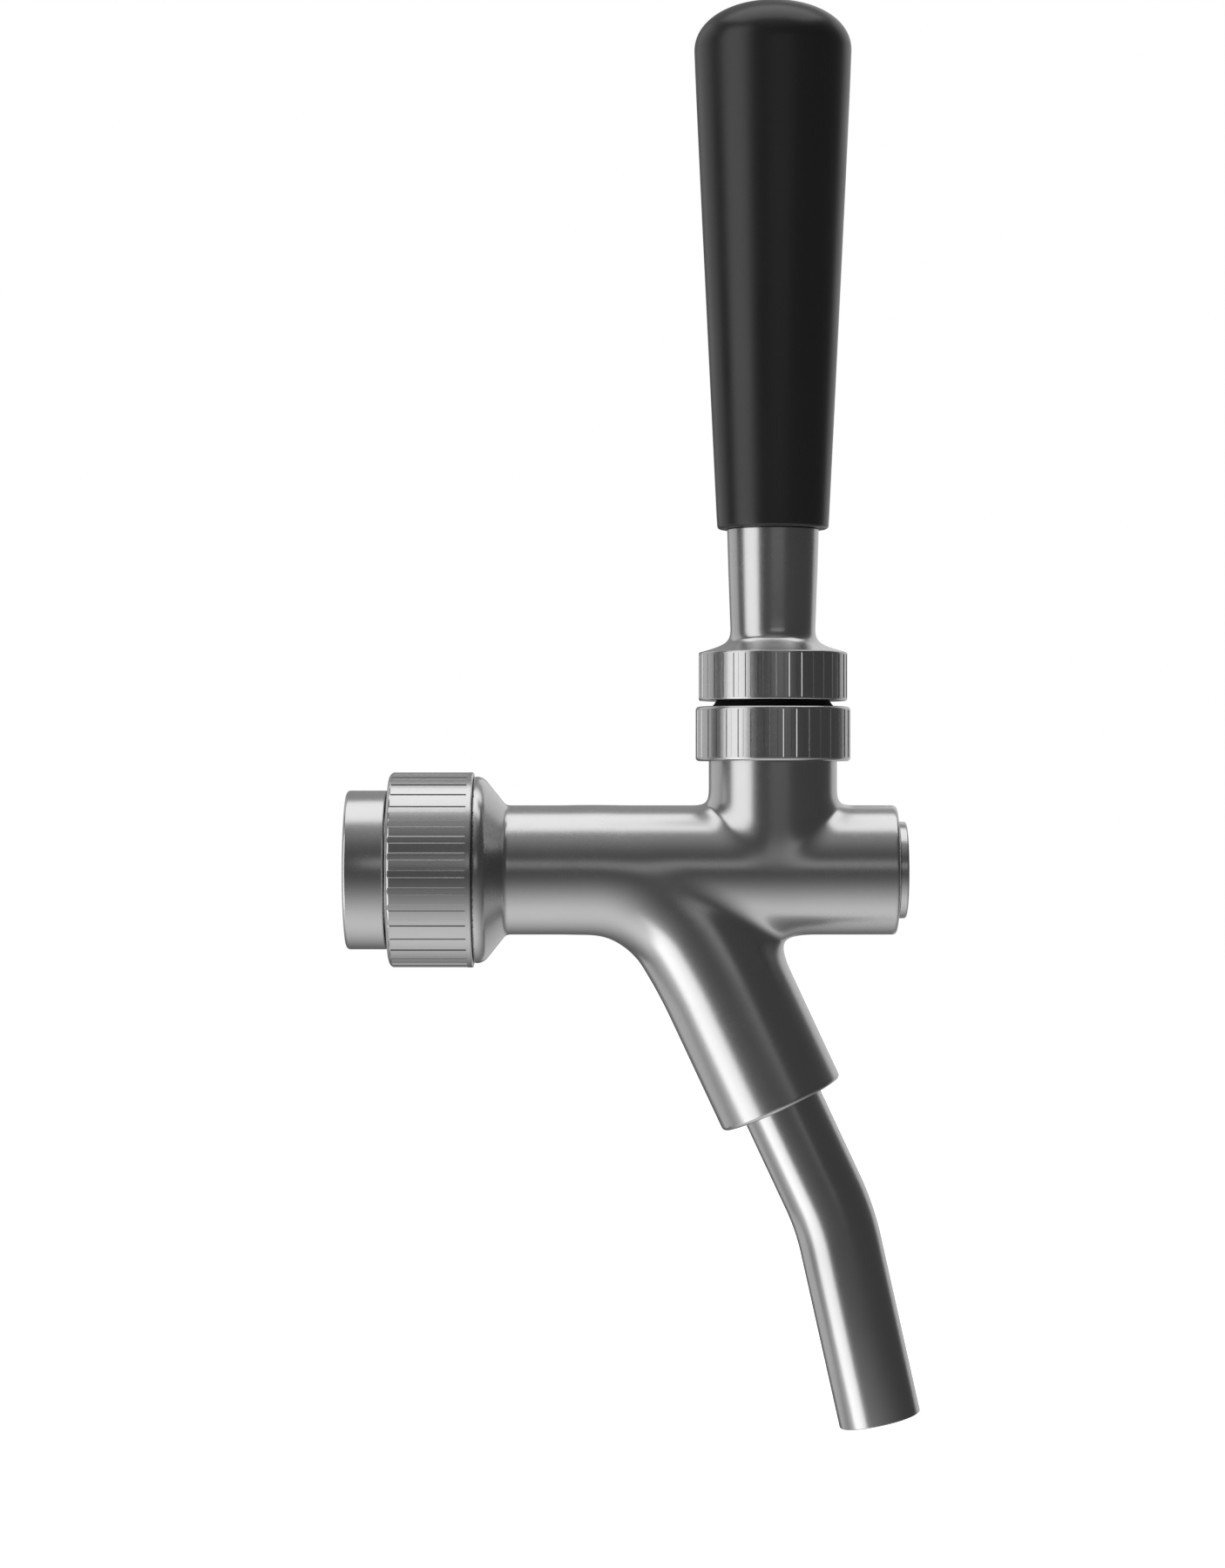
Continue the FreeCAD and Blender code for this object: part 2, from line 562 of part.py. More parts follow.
def end_cap():
    """A disc on a plug that closes the barrel and guides the front of the valve shaft."""
    body = turned("EndCap", [
        ("cap_bore_radius", "plug_bore_start + 0.3"), ("plug_radius", "plug_bore_start + 0.3"),
        ("plug_radius", "cap_seal_start"), ("cap_seal_groove", "cap_seal_start"),
        ("cap_seal_groove", "cap_seal_start + cap_seal_width"),
        ("plug_radius", "cap_seal_start + cap_seal_width"), ("plug_radius", "barrel_end"),
        ("cap_radius - cap_step", "barrel_end"), ("cap_radius - cap_step", "barrel_end + cap_step"),
        ("cap_radius", "barrel_end + cap_step"), ("cap_radius", "cap_front"), ("0", "cap_front"),
        ("0", "cap_bore_end"), ("cap_bore_radius", "cap_bore_end"),
    ], BARREL)
    rounded(body, [("cap_radius", "cap_front")], "cap_rounding")
    node(body, "end_cap")


def spout_tube():
    """A round tube along a straight run, one bend and a second straight run."""
    upper_way, lower_way = leg_way("leg_tilt"), leg_way("spout_tilt")
    half_turn = math.radians(number("leg_tilt - spout_tilt")) / 2
    bend = number("spout_bend_radius")
    corner = leg_point("spout_bend_along")
    bend_start = corner - upper_way * bend * math.tan(half_turn)
    bend_end = corner + lower_way * bend * math.tan(half_turn)
    inwards = (lower_way - upper_way).normalize()
    bend_middle = corner + inwards * bend * (1 / math.cos(half_turn) - 1)
    start, end = leg_point("spout_start"), corner + lower_way * number("spout_lower")
    path = Part.Wire([
        Part.LineSegment(start, bend_start).toShape(),
        Part.Arc(bend_start, bend_middle, bend_end).toShape(),
        Part.LineSegment(bend_end, end).toShape(),
    ])
    outside, inside = (
        path.makePipeShell([Part.Wire(Part.Circle(start, upper_way, number(radius)).toShape())], True, True)
        for radius in ("spout_radius", "spout_radius - spout_wall")
    )
    tube = doc.addObject("Part::Feature", "SpoutTube")
    tube.Shape = outside.cut(inside)
    section = math.pi * (number("spout_radius") ** 2 - number("spout_radius - spout_wall") ** 2)
    if abs(tube.Shape.Volume - section * path.Length) > 0.01 * section * path.Length:
        raise RuntimeError("the spout tube's volume isn't its section times its length")
    node(tube, "spout_tube")


shank_adapter()
ring("nut_retaining_ring", "ring_groove_radius", "ring_radius", "ring_start",
     "ring_start + ring_width", BARREL)
ring("shank_gasket", "gasket_hole", "gasket_radius", "sleeve_end", "body_start", BARREL)
coupling_nut()
tap_body()
ball_rings()
compression_ring()
bonnet_nut()
dust_boot()
lever_shaft()
lever_collar()
handle_grip()
ring("handle_insert", "collar_thread_radius", "insert_radius", "grip_start + insert_rim",
     "grip_start + insert_length", NECK)
valve_shaft()
ring("seat_washer", "valve_stud_radius", "washer_radius", "washer_start", "washer_front", BARREL)
ring("washer_cup", "valve_stud_radius", "cup_radius", "cup_start", "washer_start", BARREL)
shaft_nut()
ring("shaft_seal", "guide_radius - shaft_seal_depth", "guide_radius", "shaft_seal_start",
     "shaft_seal_start + shaft_seal_width", BARREL)
end_cap()
ring("end_cap_seal", "cap_seal_groove", "plug_bore_radius", "cap_seal_start",
     "cap_seal_start + cap_seal_width", BARREL)
spout_tube()
for label, start in (("spout_seal_upper", "seal_rear"), ("spout_seal_lower", "seal_front")):
    ring(label, "spout_radius", "seal_groove_radius", start, f"{start} + seal_width", LEG)

doc.recompute()
for item in doc.Objects:
    if "Invalid" in item.State or "Error" in item.State:
        raise RuntimeError(f"{item.Label} failed: {item.State}")
os.makedirs("parts", exist_ok=True)
for item in nodes:
    if item.Shape.isNull() or not item.Shape.isValid() or len(item.Shape.Solids) != 1:
        raise RuntimeError(f"{item.Label} isn't one valid solid")
    item.Shape.exportStep(os.path.join("parts", item.Label + ".step"))
    box = item.Shape.BoundBox
    print(f"{item.Label:20s} {item.Shape.Volume:10.1f} mm3  x {box.XMin:7.2f} {box.XMax:7.2f}"
          f"  z {box.ZMin:7.2f} {box.ZMax:7.2f}")
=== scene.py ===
"""The looks of a beer tap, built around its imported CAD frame. Lengths are in metres, angles in radians."""
import json
import math

import bpy
import numpy as np
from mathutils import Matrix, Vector


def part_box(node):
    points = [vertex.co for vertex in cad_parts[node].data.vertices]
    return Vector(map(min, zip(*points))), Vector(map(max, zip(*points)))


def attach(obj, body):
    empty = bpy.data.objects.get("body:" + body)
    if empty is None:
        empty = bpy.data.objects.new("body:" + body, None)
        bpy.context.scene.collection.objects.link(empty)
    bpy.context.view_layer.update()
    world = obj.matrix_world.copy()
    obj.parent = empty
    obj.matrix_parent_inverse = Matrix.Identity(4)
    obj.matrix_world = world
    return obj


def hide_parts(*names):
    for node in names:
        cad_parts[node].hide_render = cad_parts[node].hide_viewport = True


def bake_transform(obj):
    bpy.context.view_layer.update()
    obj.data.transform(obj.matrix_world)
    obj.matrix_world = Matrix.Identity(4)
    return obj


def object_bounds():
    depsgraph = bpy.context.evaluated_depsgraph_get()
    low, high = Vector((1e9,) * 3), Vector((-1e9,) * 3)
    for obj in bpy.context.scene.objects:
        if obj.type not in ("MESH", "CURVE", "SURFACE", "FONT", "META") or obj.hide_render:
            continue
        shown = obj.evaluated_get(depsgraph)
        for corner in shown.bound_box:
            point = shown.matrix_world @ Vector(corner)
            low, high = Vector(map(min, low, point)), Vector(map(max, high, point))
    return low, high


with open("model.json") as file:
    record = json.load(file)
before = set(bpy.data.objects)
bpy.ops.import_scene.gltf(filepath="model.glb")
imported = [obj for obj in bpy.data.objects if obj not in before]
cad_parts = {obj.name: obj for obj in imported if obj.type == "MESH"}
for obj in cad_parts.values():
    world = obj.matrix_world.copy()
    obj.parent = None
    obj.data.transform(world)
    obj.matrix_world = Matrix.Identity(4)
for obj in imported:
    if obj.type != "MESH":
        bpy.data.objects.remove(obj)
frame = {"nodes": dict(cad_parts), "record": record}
CAD_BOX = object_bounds()
MM = 0.001


def middle(node):
    low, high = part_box(node)
    return (low + high) / 2


# ---------------------------------------------------------------- sizes read from the frame
BODY_LOW, BODY_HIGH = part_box("tap_body")
NUT_LOW, NUT_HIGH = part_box("coupling_nut")
STUB_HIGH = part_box("shank_adapter")[1]
BONNET_LOW, BONNET_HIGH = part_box("bonnet_nut")
COLLAR_LOW, COLLAR_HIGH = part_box("lever_collar")
GRIP_LOW, GRIP_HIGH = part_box("handle_grip")
CAP_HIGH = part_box("end_cap")[1]
BOOT_LOW, BOOT_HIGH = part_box("dust_boot")
NECK_X = middle("bonnet_nut").x
SPOUT = next(mount for mount in frame["record"]["mounts"] if mount["name"] == "spout_outlet")

# Sizes that the frame's boxes don't show.
BARREL_RADIUS = 12.7 * MM
NECK_RADIUS = 12.6 * MM
LEG_RADIUS = 12.7 * MM
LEG_X = 63.95 * MM
LEG_TILT = math.radians(25.1)
LEG_LENGTH = 50.8 * MM
SPOUT_TILT = math.radians(12.6)
SPOUT_BEND_ALONG = 75.4 * MM
SPOUT_BEND_RADIUS = 50 * MM
SPOUT_WALL = 1.0 * MM
FLANGE_START, FLANGE_END, CONE_END = 25.02 * MM, 26.8 * MM, 31.3 * MM
FLANGE_RADIUS = 18.35 * MM
TAIL_RADIUS = 13.95 * MM
# The elbow turns mostly on its first radius, and eases into the leg on a much larger one.
ELBOW_RADIUS, EASED_RADIUS, EASED_FROM = 26 * MM, 110 * MM, math.radians(58)
SHARP_EDGE = math.radians(32)


# ---------------------------------------------------------------- mesh helpers
def mesh_object(name, points, faces, normals=None):
    """A mesh piece with smooth faces. Sharp edges stay crisp, unless the points come with normals."""
    mesh = bpy.data.meshes.new(name)
    mesh.from_pydata([tuple(point) for point in points], [], faces)
    mesh.validate()
    mesh.polygons.foreach_set("use_smooth", [True] * len(mesh.polygons))
    if normals is None:
        mesh.set_sharp_from_angle(angle=SHARP_EDGE)
    else:
        mesh.normals_split_custom_set_from_vertices([tuple(normal) for normal in normals])
    mesh.update()
    item = bpy.data.objects.new(name, mesh)
    bpy.context.scene.collection.objects.link(item)
    return item


def arc(centre, radius, start, end, steps=6):
    """Points (radius, height) along an arc, angles in degrees from the outward direction."""
    angles = np.radians(np.linspace(start, end, steps + 1))
    return [(centre[0] + radius * math.cos(a), centre[1] + radius * math.sin(a)) for a in angles]


def basis(axis):
    """Two directions across an axis, and the axis itself."""
    along = Vector(axis).normalized()
    side = Vector((0, 1, 0))
    return along.cross(side).normalized(), side, along


def lathe(name, outline, base, axis, turns=144, knurl=None, closed=False):
    """Turns an outline of (radius, height) about an axis through base.

    knurl is (phase, low, high, depth): the angle of one recess's middle in degrees, the two heights
    between which flat-floored recesses are cut into the outermost surface, and their depth.
    """
    across, side, along = basis(axis)
    base = Vector(base)
    if knurl:
        phase, low, high, depth = knurl
        phase = math.radians(phase)
        pitch = 2 * math.pi / RECESSES
        half, wall = pitch * RECESS_SHARE / 2, pitch * RECESS_WALL
        marks = [-half, -half + wall, -half / 3, half / 3, half - wall, half]
        spots = np.linspace(half, pitch - half, 5)[1:-1]
        angles = [phase + pitch * step + mark for step in range(RECESSES) for mark in [*marks, *spots]]
    else:
        angles = [2 * math.pi * step / turns for step in range(turns)]
    outer = max(radius for radius, _ in outline)
    points, rings = [], []
    for radius, height in outline:
        if radius < 1e-7:
            rings.append([len(points)])
            points.append(base + along * height)
            continue
        ring = []
        for angle in angles:
            reach = radius
            if knurl and low < height < high:
                offset = (angle - phase + pitch / 2) % pitch - pitch / 2
                if abs(offset) < half - wall / 2:
                    reach = min(radius, outer - depth)
            ring.append(len(points))
            points.append(base + along * height
                          + (across * math.cos(angle) + side * math.sin(angle)) * reach)
        rings.append(ring)
    faces = []
    pairs = list(zip(rings, rings[1:] + rings[:1])) if closed else list(zip(rings, rings[1:]))
    for lower, upper in pairs:
        count_round = max(len(lower), len(upper))
        for step in range(count_round):
            after = (step + 1) % count_round
            if len(lower) == 1:
                faces.append((lower[0], upper[after], upper[step]))
            elif len(upper) == 1:
                faces.append((lower[step], lower[after], upper[0]))
            else:
                faces.append((lower[step], lower[after], upper[after], upper[step]))
    return mesh_object(name, points, faces)


def knurl_rows(radius, low, high):
    """Rows of an outline that let recesses start and end with a steep wall."""
    edge = 0.03 * MM
    return [(radius, low - edge), (radius, low), (radius, low + edge),
            (radius, (low + high) / 2), (radius, high - edge), (radius, high), (radius, high + edge)]


# ---------------------------------------------------------------- the cast body, as a distance field
# How far the leg's and neck's fillets reach, in mm where the surfaces cross at right angles, how much
# tighter the neck's gets there, and the least reach of both.
LEG_BLEND, NECK_BLEND, NECK_CRISPNESS, SOFTENING = 5.0, 7.5, 0.68, 1.5


def blend_union(first, second, reach):
    """The union of two distance fields, smoothly filleted where they are closer than reach."""
    reach = np.maximum(reach, 1e-9)
    share = np.maximum(reach - np.abs(first - second), 0) / reach
    return np.minimum(first, second) - share ** 3 * reach / 6


def rounded_overlap(first, second, radius):
    """The overlap of two distance fields with its outer edge rounded."""
    inside = np.minimum(np.maximum(first, second), -radius)
    return inside + np.hypot(np.maximum(first + radius, 0), np.maximum(second + radius, 0))


def bent_leg(x, y, z):
    """Distance to the pipe that leaves the barrel in an elbow and runs on as the leg, and the way outwards.

    The pipe's middle line turns through whole, about a first centre and then about a second one.
    """
    whole = math.pi / 2 - LEG_TILT
    along = (math.sin(LEG_TILT), -math.cos(LEG_TILT))
    reach_down = (ELBOW_RADIUS * (1 - math.cos(EASED_FROM))
                  + EASED_RADIUS * (math.cos(EASED_FROM) - math.cos(whole)))
    elbow_end = reach_down / math.cos(LEG_TILT)
    first_x = (LEG_X + elbow_end * along[0] - ELBOW_RADIUS * math.sin(EASED_FROM)
               - EASED_RADIUS * (math.sin(whole) - math.sin(EASED_FROM)))
    step = EASED_RADIUS - ELBOW_RADIUS
    second_x = first_x - step * math.sin(EASED_FROM)
    second_z = -ELBOW_RADIUS - step * math.cos(EASED_FROM)
    turn = np.arctan2(x - first_x, z + ELBOW_RADIUS)
    eased_turn = np.arctan2(x - second_x, z - second_z)
    run = (x - LEG_X) * along[0] + z * along[1]
    first = np.clip(turn, 0, EASED_FROM)
    second = np.clip(eased_turn, EASED_FROM, whole)
    straight = run > elbow_end
    eased = (turn > EASED_FROM) & ~straight
    near_x = np.where(eased, second_x + EASED_RADIUS * np.sin(second), first_x + ELBOW_RADIUS * np.sin(first))
    near_z = np.where(eased, second_z + EASED_RADIUS * np.cos(second), ELBOW_RADIUS * (np.cos(first) - 1))
    near_x = np.where(straight, LEG_X + run * along[0], near_x)
    near_z = np.where(straight, run * along[1], near_z)
    way = np.array([x - near_x, y, z - near_z])
    reach = np.maximum(np.sqrt((way ** 2).sum(0)), 1e-9)
    # Where it starts it lies a little inside the barrel.
    sunk = 0.5 * MM * np.clip(1 - first / 0.7, 0, 1) ** 2
    pipe = rounded_overlap(reach - LEG_RADIUS + sunk, run - LEG_LENGTH, 0.8 * MM)
    return pipe, way / reach


def body_field(x, y, z):
    """Signed distance to the body's outside, in metres."""
    ring = np.maximum(np.hypot(y, z), 1e-9)
    barrel = rounded_overlap(ring - BARREL_RADIUS, x - BODY_HIGH.x, 0.7 * MM)
    barrel = np.maximum(barrel, FLANGE_START - x)

    pipe, way = bent_leg(x, y, z)
    apart = 1 - (y * way[1] + z * way[2]) / ring
    body = blend_union(barrel, pipe, (LEG_BLEND * apart + SOFTENING) * MM)

    # The neck ends in a ball inside the barrel.
    below = np.minimum(z, 0)
    reach = np.maximum(np.sqrt((x - NECK_X) ** 2 + y ** 2 + below ** 2), 1e-9)
    neck = np.maximum(reach - NECK_RADIUS, z - BODY_HIGH.z)
    apart = 1 - (y * y + z * below) / (ring * reach)
    body = blend_union(body, neck, (NECK_BLEND * apart * (1 - NECK_CRISPNESS * apart) + SOFTENING) * MM)

    slope = np.array([FLANGE_RADIUS - BARREL_RADIUS, CONE_END - FLANGE_END])
    slope = slope / np.linalg.norm(slope)
    cone = (x - FLANGE_END) * slope[0] + (ring - FLANGE_RADIUS) * slope[1]
    flange = rounded_overlap(ring - FLANGE_RADIUS, FLANGE_START - x, 0.3 * MM)
    flange = rounded_overlap(flange, cone, 0.9 * MM)
    body = blend_union(body, flange, 0.9 * MM)
    tail = np.maximum(np.maximum(ring - TAIL_RADIUS, BODY_LOW.x - x), x - FLANGE_END)
    return np.minimum(body, tail)


def field_slope(field, points, step=0.02 * MM):
    """The field's unit gradient at each point."""
    slope = np.empty_like(points)
    for direction in range(3):
        ahead, behind = points.copy(), points.copy()
        ahead[:, direction] += step
        behind[:, direction] -= step
        slope[:, direction] = field(*ahead.T) - field(*behind.T)
    return slope / np.maximum(np.linalg.norm(slope, axis=1, keepdims=True), 1e-12)


def net_surface(field, low, high, cell):
    """Points and quads of the field's zero surface: one point in each crossed cell, then settled on it."""
    steps = [np.arange(start, end + cell, cell) for start, end in zip(low, high)]
    values = field(*np.meshgrid(*steps, indexing="ij"))
    inside = values < 0
    shape = [len(step) - 1 for step in steps]
    total, count = np.zeros(shape + [3]), np.zeros(shape)
    corners = [(i, j, k) for i in (0, 1) for j in (0, 1) for k in (0, 1)]

    def corner(array, offset):
        return array[tuple(slice(o, o + n) for o, n in zip(offset, shape))]

    for first in corners:
        for direction in range(3):
            if first[direction]:
                continue
            second = tuple(o + (axis == direction) for axis, o in enumerate(first))
            a, b = corner(values, first), corner(values, second)
            crossed = corner(inside, first) != corner(inside, second)
            share = np.where(crossed, a / np.where(crossed, a - b, 1), 0)
            for axis in range(3):
                total[..., axis] += np.where(crossed, first[axis] + share * (axis == direction), 0)
            count += crossed
    active = count > 0
    index = np.full(shape, -1)
    index[active] = np.arange(active.sum())
    cells = np.argwhere(active)
    points = np.array(low) + (cells + total[active] / count[active][:, None]) * cell
    quads = []
    for direction in range(3):
        one, two = [axis for axis in range(3) if axis != direction]
        before = [slice(None)] * 3
        after = [slice(None)] * 3
        before[direction], after[direction] = slice(None, -1), slice(1, None)
        crossed = np.argwhere(inside[tuple(before)] != inside[tuple(after)])
        fits = (crossed[:, one] > 0) & (crossed[:, two] > 0)
        fits &= (crossed[:, one] < shape[one]) & (crossed[:, two] < shape[two])
        crossed = crossed[fits]
        ring = []
        for back_one, back_two in ((1, 1), (0, 1), (0, 0), (1, 0)):
            spot = crossed.copy()
            spot[:, one] -= back_one
            spot[:, two] -= back_two
            ring.append(index[tuple(spot.T)])
        ring = np.stack(ring, 1)
        outwards = inside[tuple(crossed.T)] ^ (direction == 1)
        quads.append(np.where(outwards[:, None], ring, ring[:, ::-1]))
    for _ in range(4):
        points -= field_slope(field, points) * field(*points.T)[:, None]
    return points, np.concatenate(quads)


def cast_body():
    """The body's one casting, as a fine net over its distance field."""
    edge, cell = 1.5 * MM, 0.45 * MM
    low = [BODY_LOW.x - edge, -FLANGE_RADIUS - edge, BODY_LOW.z - edge]
    high = [BODY_HIGH.x + edge, FLANGE_RADIUS + edge, BODY_HIGH.z + edge]
    points, quads = net_surface(body_field, low, high, cell)
    return mesh_object("cast_body", points, quads.tolist(), normals=field_slope(body_field, points))


# ---------------------------------------------------------------- turned pieces
BARREL_AXIS = (1, 0, 0)
UP = (0, 0, 1)
NECK_BASE = (NECK_X, 0, 0)
RECESSES, RECESS_SHARE, RECESS_WALL = 36, 0.46, 0.052


def shank_stub():
    """The adapter behind the nut, with its ridged inlet, rear rounding and the sleeve inside the nut."""
    radius, length, sleeve, sleeve_end = STUB_HIGH.y, 7.9 * MM, 12.2 * MM, 14.9 * MM
    thread, depth, bore, bore_end = 10.3 * MM, 10.5 * MM, 4.0 * MM, 14 * MM
    rear, edge = 0.7 * MM, 0.3 * MM
    outline = [(0.0, bore_end), (bore, bore_end), (bore, depth + edge), (bore + edge, depth)]
    outline += [(thread - edge, depth), (thread, depth - edge)]
    pitch, ridge, lead_in = 1.4 * MM, 0.28 * MM, 0.6 * MM
    height = depth - 1.2 * MM
    while height > 1.6 * MM:
        outline += [(thread, height), (thread + ridge, height - pitch * 0.4)]
        outline.append((thread, height - pitch * 0.8))
        height -= pitch
    outline += [(thread, rear), (thread + lead_in, 0.0)]
    outline += arc((radius - rear, rear), rear, -90, 0)
    outline += arc((radius - edge, length - edge), edge, 0, 90)
    outline += [(sleeve, length), (sleeve, sleeve_end)]
    return lathe("shank_stub", outline, (0, 0, 0), BARREL_AXIS)


def coupling_ring():
    """The knurled coupling nut, open at the front and with a web at its rear."""
    radius, low, high = NUT_HIGH.y, NUT_LOW.x, NUT_HIGH.x
    rear, front, chamfer = 1.2 * MM, 0.3 * MM, 0.3 * MM
    hole, thread, web = 12.5 * MM, 14.0 * MM, 3.0 * MM
    recess_low, recess_high = low + 0.75 * MM, high - 1.1 * MM
    outline = [(thread, low + web), (hole, low + web), (hole, low + chamfer), (hole + chamfer, low)]
    outline += arc((radius - rear, low + rear), rear, -90, -22, 7)
    # The recesses start within the rear rounding, so their first two rows are left out.
    outline += knurl_rows(radius, recess_low, recess_high)[2:]
    outline += arc((radius - front, high - front), front, 0, 90)
    outline += [(thread + chamfer, high), (thread, high - chamfer)]
    return lathe("coupling_ring", outline, (0, 0, 0), BARREL_AXIS,
                 knurl=(9.0, recess_low, recess_high, 0.2 * MM), closed=True)


def bonnet_ring():
    """The knurled bonnet nut on the neck."""
    radius, low, high = BONNET_HIGH.y, BONNET_LOW.z, BONNET_HIGH.z
    rim, chamfer = 0.65 * MM, 0.3 * MM
    hole, thread, web = 9.3 * MM, 12.35 * MM, 28.3 * MM
    recess_low, recess_high = low + 0.7 * MM, high - 0.7 * MM
    outline = [(hole, web), (thread, web), (thread, low + chamfer), (thread + chamfer, low)]
    outline += arc((radius - rim, low + rim), rim, -90, 0)
    outline += knurl_rows(radius, recess_low, recess_high)
    outline += arc((radius - rim, high - rim), rim, 0, 90)
    outline += [(11.5 * MM, high), (11.3 * MM, high - 0.2 * MM)]
    return lathe("bonnet_ring", outline, NECK_BASE, UP,
                 knurl=(6.8, recess_low, recess_high, 0.13 * MM), closed=True)


def lever_bell():
    """The knurled bell, its flare and the tapered stem above it."""
    radius, low = COLLAR_HIGH.y, COLLAR_LOW.z
    ring_top = 42.8 * MM
    rim = 0.35 * MM
    recess_low, recess_high = low + 0.5 * MM, ring_top - 0.5 * MM
    hollow, ceiling = 13.8 * MM, 39.25 * MM
    thread, corner_cut, lip = 4.75 * MM, 0.5 * MM, 0.4 * MM
    outline = [(thread, ceiling), (hollow - corner_cut, ceiling), (hollow, ceiling - corner_cut),
               (hollow, low + lip), (hollow + lip, low)]
    outline += arc((radius - rim, low + rim), rim, -90, 0)
    outline += knurl_rows(radius, recess_low, recess_high)
    outline += arc((radius - rim, ring_top - rim), rim, 0, 70)
    # The flare rises in a hollow curve to the stem, whose foot is its narrowest place.
    rim_edge, corner, foot = (14.25, 42.8), (8.35, 44.4), (8.35, 47.4)
    pull = 1.8
    for step in range(25):
        share = step / 24
        weights = ((1 - share) ** 2, 2 * share * (1 - share) * pull, share ** 2)
        outline.append([sum(w * p[side] for w, p in zip(weights, (rim_edge, corner, foot)))
                        / sum(weights) * MM for side in (0, 1)])
    outline += [(8.45 * MM, 50 * MM), (8.75 * MM, 58.5 * MM), (9.0 * MM, 66.8 * MM), (8.8 * MM, 67 * MM),
                (thread, 67 * MM)]
    return lathe("lever_bell", outline, NECK_BASE, UP, knurl=(1.9, recess_low, recess_high, 0.13 * MM),
                 closed=True)


def grip():
    """A tapered grip whose dome is a little fuller than an ellipse."""
    low, high = GRIP_LOW.z, GRIP_HIGH.z
    foot, wide, rim = 10.95 * MM, 15.44 * MM, 0.6 * MM
    shoulder_height = high - 9.6 * MM
    fullness = 2.12
    outline = [(6.4 * MM, low + 0.1 * MM), (6.6 * MM, low)]
    outline += arc((foot - rim, low + rim), rim, -90, 0)
    for step in range(1, 40):
        share = step / 40
        outline.append((foot + (wide - foot) * (share * 1.03 - 0.03 * share ** 8),
                        low + (shoulder_height - low) * share))
    for step in range(49):
        angle = math.pi / 2 * step / 48
        outline.append((wide * math.cos(angle) ** (2 / fullness),
                        shoulder_height + (high - shoulder_height) * math.sin(angle) ** (2 / fullness)))
    outline[-1] = (0.0, high)
    return lathe("grip", outline, NECK_BASE, UP, turns=160)


def front_cap():
    """The plain cap that closes the barrel's front end."""
    radius, base, front = CAP_HIGH.y, BODY_HIGH.x, CAP_HIGH.x
    plug, shadow_gap, rim = 8.0 * MM, 0.3 * MM, 0.4 * MM
    neck = radius - 0.35 * MM
    outline = [(plug, base - 2 * MM), (plug, base - 0.3 * MM), (neck, base - 0.02 * MM),
               (neck, base + shadow_gap), (radius - 0.1 * MM, base + shadow_gap), (radius, base + rim)]
    outline += arc((radius - rim, front - rim), rim, 0, 90)
    outline += [(radius - 1.5 * MM, front), (0.0, front)]
    return lathe("front_cap", outline, (0, 0, 0), BARREL_AXIS)


def rubber_boot():
    """A thin cone of rubber round the lever's shaft."""
    low, high = BOOT_LOW.z, BOOT_HIGH.z
    base, top, wall, opening = BOOT_HIGH.y, 7.5 * MM, 1.2 * MM, 5.5 * MM
    outline = [(base - wall, low + 0.02 * MM), (base - 0.15 * MM, low + 0.02 * MM), (base, low + 0.15 * MM)]
    for step in range(1, 14):
        share = step / 14
        outline.append((base + (top - base) * share, low + (high - low) * share))
    outline += [(top, high), (opening, high), (opening, high - wall)]
    for step in range(14):
        share = 1 - step / 14
        outline.append((base - wall + (top - base) * share * 0.96, low + (high - wall - low) * share))
    return lathe("rubber_boot", outline, NECK_BASE, UP, turns=96, closed=True)


def spout():
    """A thin tube along a straight run, one bend and a second straight run."""
    upper = Vector((math.sin(LEG_TILT), 0, -math.cos(LEG_TILT)))
    lower = Vector((math.sin(SPOUT_TILT), 0, -math.cos(SPOUT_TILT)))
    corner = Vector((LEG_X, 0, 0)) + upper * SPOUT_BEND_ALONG
    half_turn = (LEG_TILT - SPOUT_TILT) / 2
    back = SPOUT_BEND_RADIUS * math.tan(half_turn)
    start = Vector((LEG_X, 0, 0)) + upper * (LEG_LENGTH - 6 * MM)
    end = Vector(SPOUT["pos_m"]) + lower * SPOUT["dims"]["length_mm"] * MM / 2
    centres, ways = [start, corner - upper * back], [upper, upper]
    across = Vector((-math.cos(LEG_TILT), 0, -math.sin(LEG_TILT)))
    pivot = corner - upper * back + across * SPOUT_BEND_RADIUS
    for step in range(1, 25):
        angle = LEG_TILT - 2 * half_turn * step / 24
        way = Vector((math.sin(angle), 0, -math.cos(angle)))
        out = Vector((math.cos(angle), 0, math.sin(angle)))
        centres.append(pivot + out * SPOUT_BEND_RADIUS)
        ways.append(way)
    outside = SPOUT["dims"]["r_mm"] * MM
    inside = outside - SPOUT_WALL
    lip = 0.25 * MM
    rows = [(centre, way, outside) for centre, way in zip(centres, ways)]
    rows += [(end - lower * lip * (1 - math.sin(a)), lower, outside - lip * (1 - math.cos(a)))
             for a in np.radians(np.linspace(0, 90, 5))]
    rows += [(end - lower * lip * (1 - math.sin(a)), lower, inside + lip * (1 - math.cos(a)))
             for a in np.radians(np.linspace(90, 0, 5))]
    rows += [(centre, way, inside) for centre, way in zip(centres[::-1], ways[::-1])]
    points, faces, count = [], [], 120
    sideways = Vector((0, 1, 0))
    for centre, way, radius in rows:
        outwards = sideways.cross(way)
        points += [centre + (outwards * math.cos(a) + sideways * math.sin(a)) * radius
                   for a in np.linspace(0, 2 * math.pi, count, endpoint=False)]
    for row in range(len(rows)):
        after_row = (row + 1) % len(rows)
        for step in range(count):
            after = (step + 1) % count
            faces.append((row * count + step, row * count + after,
                          after_row * count + after, after_row * count + step))
    return mesh_object("spout", points, faces)


